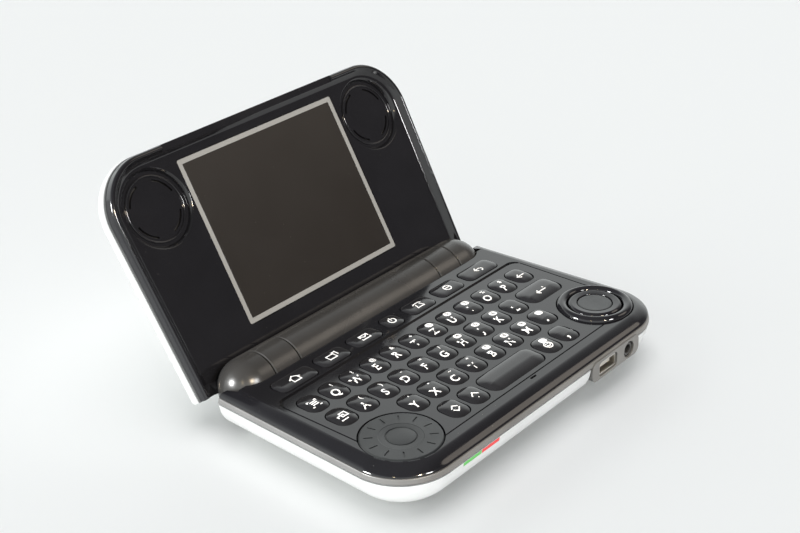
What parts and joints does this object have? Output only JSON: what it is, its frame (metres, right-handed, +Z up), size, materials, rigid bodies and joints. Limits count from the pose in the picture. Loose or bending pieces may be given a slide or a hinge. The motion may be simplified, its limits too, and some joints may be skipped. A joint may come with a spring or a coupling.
{
  "type": "personal digital assistant",
  "caption": "Clamshell messaging organiser with a letter keyboard, scroll wheel, four-way ring and a wide display in a lid on a barrel hinge.",
  "frame": {"origin": "middle of the flat underside of the base", "axes": "+X to the user's right along the hinge, +Y from the user towards the hinge, +Z up"},
  "size_m": [0.115, 0.1111, 0.0675],
  "materials": {
    "gloss_black": "high gloss moulded, hard coated",
    "satin_black": "satin moulded",
    "key_black": "glossy key caps with printed legends",
    "dial_grey": "fine matte, metallic paint",
    "side_grey": "matte grey",
    "shell_white": "semi-gloss white",
    "screen_glass": "display window, switched off",
    "board_green": "solder mask",
    "rubber_grey": "silicone",
    "battery_grey": "wrapped cell",
    "steel": "bright plated steel"
  },
  "bodies": {
    "base": {"base_lower_case": "shell_white", "base_side_frame": "side_grey", "base_top_case": "gloss_black", "battery_cover": "shell_white", "battery_pack": "battery_grey", "main_board": "board_green", "keypad_mat": "rubber_grey", "usb_socket": "steel", "audio_jack": "satin_black", "hinge_unit_left": "steel", "hinge_unit_right": "steel"},
    "lid": {"lid_front_bezel": "gloss_black", "display_module": "screen_glass", "lid_rear_cover": "shell_white"},
    "scroll_wheel": {"scroll_wheel": "dial_grey"},
    "nav_ring": {"nav_ring": "gloss_black"},
    "ok_button": {"ok_button": "dial_grey"},
    "key_menu": {"key_menu": "key_black"},
    "key_q": {"key_q": "key_black"},
    "key_w": {"key_w": "key_black"},
    "key_e": {"key_e": "key_black"},
    "key_r": {"key_r": "key_black"},
    "key_t": {"key_t": "key_black"},
    "key_z": {"key_z": "key_black"},
    "key_u": {"key_u": "key_black"},
    "key_i": {"key_i": "key_black"},
    "key_o": {"key_o": "key_black"},
    "key_p": {"key_p": "key_black"},
    "key_backspace": {"key_backspace": "key_black"},
    "key_app": {"key_app": "key_black"},
    "key_a": {"key_a": "key_black"},
    "key_s": {"key_s": "key_black"},
    "key_d": {"key_d": "key_black"},
    "key_f": {"key_f": "key_black"},
    "key_g": {"key_g": "key_black"},
    "key_h": {"key_h": "key_black"},
    "key_j": {"key_j": "key_black"},
    "key_k": {"key_k": "key_black"},
    "key_l": {"key_l": "key_black"},
    "key_enter": {"key_enter": "key_black"},
    "key_y": {"key_y": "key_black"},
    "key_x": {"key_x": "key_black"},
    "key_c": {"key_c": "key_black"},
    "key_v": {"key_v": "key_black"},
    "key_b": {"key_b": "key_black"},
    "key_n": {"key_n": "key_black"},
    "key_m": {"key_m": "key_black"},
    "key_period": {"key_period": "key_black"},
    "key_alt": {"key_alt": "key_black"},
    "key_cap": {"key_cap": "key_black"},
    "key_space": {"key_space": "key_black"},
    "key_emoticon": {"key_emoticon": "key_black"},
    "key_comma": {"key_comma": "key_black"},
    "key_home": {"key_home": "key_black"},
    "key_messages": {"key_messages": "key_black"},
    "key_mail": {"key_mail": "key_black"},
    "key_power": {"key_power": "key_black"},
    "key_phone": {"key_phone": "key_black"},
    "key_browser": {"key_browser": "key_black"},
    "key_back": {"key_back": "key_black"}
  },
  "joints": [
    {"name": "lid_hinge", "type": "hinge", "parent": "base", "child": "lid", "pos_m": [0, 0.0297, 0.0113], "axis": [1, 0, 0], "range_deg": [0, 120]},
    {"name": "scroll_wheel_turn", "type": "hinge", "parent": "base", "child": "scroll_wheel", "pos_m": [-0.0422, -0.0224, 0.0155], "axis": [0, 0, 1], "continuous": true},
    {"name": "nav_ring_tilt", "type": "hinge", "parent": "base", "child": "nav_ring", "pos_m": [0.0422, -0.0224, 0.0145], "axis": [1, 0, 0], "range_deg": [-1.8, 1.8], "stiffness_Nm_per_rad": 0.5},
    {"name": "ok_button_press", "type": "slide", "parent": "base", "child": "ok_button", "axis": [0, 0, -1], "range_m": [0, 0.0004], "stiffness_N_per_m": 1000},
    {"name": "key_menu_press", "type": "slide", "parent": "base", "child": "key_menu", "axis": [0, 0, -1], "range_m": [0, 0.0004], "stiffness_N_per_m": 1000},
    {"name": "key_q_press", "type": "slide", "parent": "base", "child": "key_q", "axis": [0, 0, -1], "range_m": [0, 0.0004], "stiffness_N_per_m": 1000},
    {"name": "key_w_press", "type": "slide", "parent": "base", "child": "key_w", "axis": [0, 0, -1], "range_m": [0, 0.0004], "stiffness_N_per_m": 1000},
    {"name": "key_e_press", "type": "slide", "parent": "base", "child": "key_e", "axis": [0, 0, -1], "range_m": [0, 0.0004], "stiffness_N_per_m": 1000},
    {"name": "key_r_press", "type": "slide", "parent": "base", "child": "key_r", "axis": [0, 0, -1], "range_m": [0, 0.0004], "stiffness_N_per_m": 1000},
    {"name": "key_t_press", "type": "slide", "parent": "base", "child": "key_t", "axis": [0, 0, -1], "range_m": [0, 0.0004], "stiffness_N_per_m": 1000},
    {"name": "key_z_press", "type": "slide", "parent": "base", "child": "key_z", "axis": [0, 0, -1], "range_m": [0, 0.0004], "stiffness_N_per_m": 1000},
    {"name": "key_u_press", "type": "slide", "parent": "base", "child": "key_u", "axis": [0, 0, -1], "range_m": [0, 0.0004], "stiffness_N_per_m": 1000},
    {"name": "key_i_press", "type": "slide", "parent": "base", "child": "key_i", "axis": [0, 0, -1], "range_m": [0, 0.0004], "stiffness_N_per_m": 1000},
    {"name": "key_o_press", "type": "slide", "parent": "base", "child": "key_o", "axis": [0, 0, -1], "range_m": [0, 0.0004], "stiffness_N_per_m": 1000},
    {"name": "key_p_press", "type": "slide", "parent": "base", "child": "key_p", "axis": [0, 0, -1], "range_m": [0, 0.0004], "stiffness_N_per_m": 1000},
    {"name": "key_backspace_press", "type": "slide", "parent": "base", "child": "key_backspace", "axis": [0, 0, -1], "range_m": [0, 0.0004], "stiffness_N_per_m": 1000},
    {"name": "key_app_press", "type": "slide", "parent": "base", "child": "key_app", "axis": [0, 0, -1], "range_m": [0, 0.0004], "stiffness_N_per_m": 1000},
    {"name": "key_a_press", "type": "slide", "parent": "base", "child": "key_a", "axis": [0, 0, -1], "range_m": [0, 0.0004], "stiffness_N_per_m": 1000},
    {"name": "key_s_press", "type": "slide", "parent": "base", "child": "key_s", "axis": [0, 0, -1], "range_m": [0, 0.0004], "stiffness_N_per_m": 1000},
    {"name": "key_d_press", "type": "slide", "parent": "base", "child": "key_d", "axis": [0, 0, -1], "range_m": [0, 0.0004], "stiffness_N_per_m": 1000},
    {"name": "key_f_press", "type": "slide", "parent": "base", "child": "key_f", "axis": [0, 0, -1], "range_m": [0, 0.0004], "stiffness_N_per_m": 1000},
    {"name": "key_g_press", "type": "slide", "parent": "base", "child": "key_g", "axis": [0, 0, -1], "range_m": [0, 0.0004], "stiffness_N_per_m": 1000},
    {"name": "key_h_press", "type": "slide", "parent": "base", "child": "key_h", "axis": [0, 0, -1], "range_m": [0, 0.0004], "stiffness_N_per_m": 1000},
    {"name": "key_j_press", "type": "slide", "parent": "base", "child": "key_j", "axis": [0, 0, -1], "range_m": [0, 0.0004], "stiffness_N_per_m": 1000},
    {"name": "key_k_press", "type": "slide", "parent": "base", "child": "key_k", "axis": [0, 0, -1], "range_m": [0, 0.0004], "stiffness_N_per_m": 1000},
    {"name": "key_l_press", "type": "slide", "parent": "base", "child": "key_l", "axis": [0, 0, -1], "range_m": [0, 0.0004], "stiffness_N_per_m": 1000},
    {"name": "key_enter_press", "type": "slide", "parent": "base", "child": "key_enter", "axis": [0, 0, -1], "range_m": [0, 0.0004], "stiffness_N_per_m": 1000},
    {"name": "key_y_press", "type": "slide", "parent": "base", "child": "key_y", "axis": [0, 0, -1], "range_m": [0, 0.0004], "stiffness_N_per_m": 1000},
    {"name": "key_x_press", "type": "slide", "parent": "base", "child": "key_x", "axis": [0, 0, -1], "range_m": [0, 0.0004], "stiffness_N_per_m": 1000},
    {"name": "key_c_press", "type": "slide", "parent": "base", "child": "key_c", "axis": [0, 0, -1], "range_m": [0, 0.0004], "stiffness_N_per_m": 1000},
    {"name": "key_v_press", "type": "slide", "parent": "base", "child": "key_v", "axis": [0, 0, -1], "range_m": [0, 0.0004], "stiffness_N_per_m": 1000},
    {"name": "key_b_press", "type": "slide", "parent": "base", "child": "key_b", "axis": [0, 0, -1], "range_m": [0, 0.0004], "stiffness_N_per_m": 1000},
    {"name": "key_n_press", "type": "slide", "parent": "base", "child": "key_n", "axis": [0, 0, -1], "range_m": [0, 0.0004], "stiffness_N_per_m": 1000},
    {"name": "key_m_press", "type": "slide", "parent": "base", "child": "key_m", "axis": [0, 0, -1], "range_m": [0, 0.0004], "stiffness_N_per_m": 1000},
    {"name": "key_period_press", "type": "slide", "parent": "base", "child": "key_period", "axis": [0, 0, -1], "range_m": [0, 0.0004], "stiffness_N_per_m": 1000},
    {"name": "key_alt_press", "type": "slide", "parent": "base", "child": "key_alt", "axis": [0, 0, -1], "range_m": [0, 0.0004], "stiffness_N_per_m": 1000},
    {"name": "key_cap_press", "type": "slide", "parent": "base", "child": "key_cap", "axis": [0, 0, -1], "range_m": [0, 0.0004], "stiffness_N_per_m": 1000},
    {"name": "key_space_press", "type": "slide", "parent": "base", "child": "key_space", "axis": [0, 0, -1], "range_m": [0, 0.0004], "stiffness_N_per_m": 1000},
    {"name": "key_emoticon_press", "type": "slide", "parent": "base", "child": "key_emoticon", "axis": [0, 0, -1], "range_m": [0, 0.0004], "stiffness_N_per_m": 1000},
    {"name": "key_comma_press", "type": "slide", "parent": "base", "child": "key_comma", "axis": [0, 0, -1], "range_m": [0, 0.0004], "stiffness_N_per_m": 1000},
    {"name": "key_home_press", "type": "slide", "parent": "base", "child": "key_home", "axis": [0, 0, -1], "range_m": [0, 0.0004], "stiffness_N_per_m": 1000},
    {"name": "key_messages_press", "type": "slide", "parent": "base", "child": "key_messages", "axis": [0, 0, -1], "range_m": [0, 0.0004], "stiffness_N_per_m": 1000},
    {"name": "key_mail_press", "type": "slide", "parent": "base", "child": "key_mail", "axis": [0, 0, -1], "range_m": [0, 0.0004], "stiffness_N_per_m": 1000},
    {"name": "key_power_press", "type": "slide", "parent": "base", "child": "key_power", "axis": [0, 0, -1], "range_m": [0, 0.0004], "stiffness_N_per_m": 1000},
    {"name": "key_phone_press", "type": "slide", "parent": "base", "child": "key_phone", "axis": [0, 0, -1], "range_m": [0, 0.0004], "stiffness_N_per_m": 1000},
    {"name": "key_browser_press", "type": "slide", "parent": "base", "child": "key_browser", "axis": [0, 0, -1], "range_m": [0, 0.0004], "stiffness_N_per_m": 1000},
    {"name": "key_back_press", "type": "slide", "parent": "base", "child": "key_back", "axis": [0, 0, -1], "range_m": [0, 0.0004], "stiffness_N_per_m": 1000}
  ]
}
